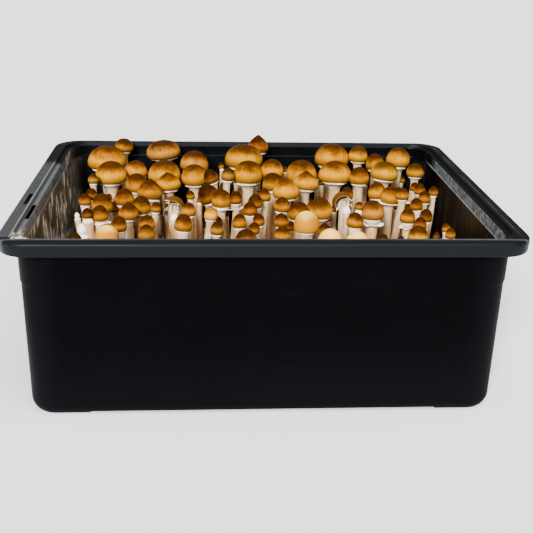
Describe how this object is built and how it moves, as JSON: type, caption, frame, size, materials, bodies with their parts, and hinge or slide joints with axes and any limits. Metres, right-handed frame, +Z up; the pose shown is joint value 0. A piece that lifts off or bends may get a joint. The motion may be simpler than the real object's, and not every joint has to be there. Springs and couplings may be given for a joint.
{
  "type": "mushroom grow tub",
  "caption": "Open rectangular plastic tub with a rolled rim, filled with growing medium and a crop of round-capped mushrooms on pale stems",
  "frame": {"origin": "on the surface the feet stand on, under the middle of the tub's rim", "axes": "+X along the length of the tub towards its plain end, -X towards the end with the clip slots, -Y towards its front, +Z up"},
  "size_m": [0.43, 0.337, 0.174],
  "materials": {
    "tub_plastic": "near-black moulded plastic, satin outside and glossy with damp inside",
    "growing_medium": "moist brown wood-fibre medium threaded with white mycelium",
    "mushroom": "satin golden-brown caps with cream stems and pale veils"
  },
  "bodies": {
    "root": {"tub": "tub_plastic", "growing_medium": "growing_medium", "mushroom_01": "mushroom", "mushroom_02": "mushroom", "mushroom_03": "mushroom", "mushroom_04": "mushroom", "mushroom_05": "mushroom", "mushroom_06": "mushroom", "mushroom_07": "mushroom", "mushroom_08": "mushroom", "mushroom_09": "mushroom", "mushroom_10": "mushroom", "mushroom_11": "mushroom", "mushroom_12": "mushroom", "mushroom_13": "mushroom", "mushroom_14": "mushroom", "mushroom_15": "mushroom", "mushroom_16": "mushroom", "mushroom_17": "mushroom", "mushroom_18": "mushroom", "mushroom_19": "mushroom", "mushroom_20": "mushroom", "mushroom_21": "mushroom", "mushroom_22": "mushroom", "mushroom_23": "mushroom", "mushroom_24": "mushroom", "mushroom_25": "mushroom", "mushroom_26": "mushroom", "mushroom_27": "mushroom", "mushroom_28": "mushroom", "mushroom_29": "mushroom", "mushroom_30": "mushroom", "mushroom_31": "mushroom", "mushroom_32": "mushroom", "mushroom_33": "mushroom", "mushroom_34": "mushroom", "mushroom_35": "mushroom", "mushroom_36": "mushroom", "mushroom_37": "mushroom", "mushroom_38": "mushroom", "mushroom_39": "mushroom", "mushroom_40": "mushroom", "clump_01": "mushroom", "clump_02": "mushroom", "clump_03": "mushroom", "clump_04": "mushroom", "clump_05": "mushroom", "clump_06": "mushroom", "clump_07": "mushroom", "clump_08": "mushroom", "clump_09": "mushroom", "clump_10": "mushroom", "clump_11": "mushroom", "clump_12": "mushroom", "clump_13": "mushroom", "clump_14": "mushroom", "clump_15": "mushroom", "clump_16": "mushroom", "clump_17": "mushroom", "clump_18": "mushroom"}
  },
  "joints": []
}
